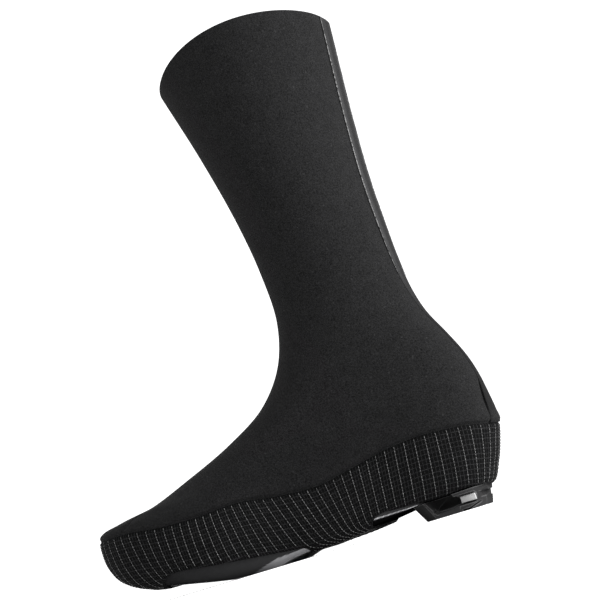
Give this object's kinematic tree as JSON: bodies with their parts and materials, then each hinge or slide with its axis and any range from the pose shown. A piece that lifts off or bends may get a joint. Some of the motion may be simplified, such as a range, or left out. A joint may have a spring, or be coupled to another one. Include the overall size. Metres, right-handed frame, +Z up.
{
  "type": "cycling overshoe",
  "caption": "Tall stretch overshoe for cycling: a hollow fabric sleeve over a ripstop band that is open under forefoot and heel, standing on a cupped sole with a heel pad.",
  "frame": {"origin": "on the floor, at the middle of the bounding box's base", "axes": "+X to the toe, +Y to the outer side of the foot, +Z up along the shaft"},
  "size_m": [0.2894, 0.119, 0.3345],
  "materials": {
    "softshell": "matte black stretch softshell with a fine fleck",
    "ripstop": "black ripstop with reflective threads",
    "tape": "smooth grey bonded tape",
    "sole": "satin dark composite",
    "pad": "moulded dark grey plastic",
    "insert": "pale grey plastic"
  },
  "bodies": {
    "root": {"upper": "softshell", "rand": "ripstop", "back_tape": "tape", "sole_plate": "sole", "heel_pad": "pad", "heel_pad_insert_outer": "insert", "heel_pad_insert_inner": "insert"}
  },
  "joints": []
}
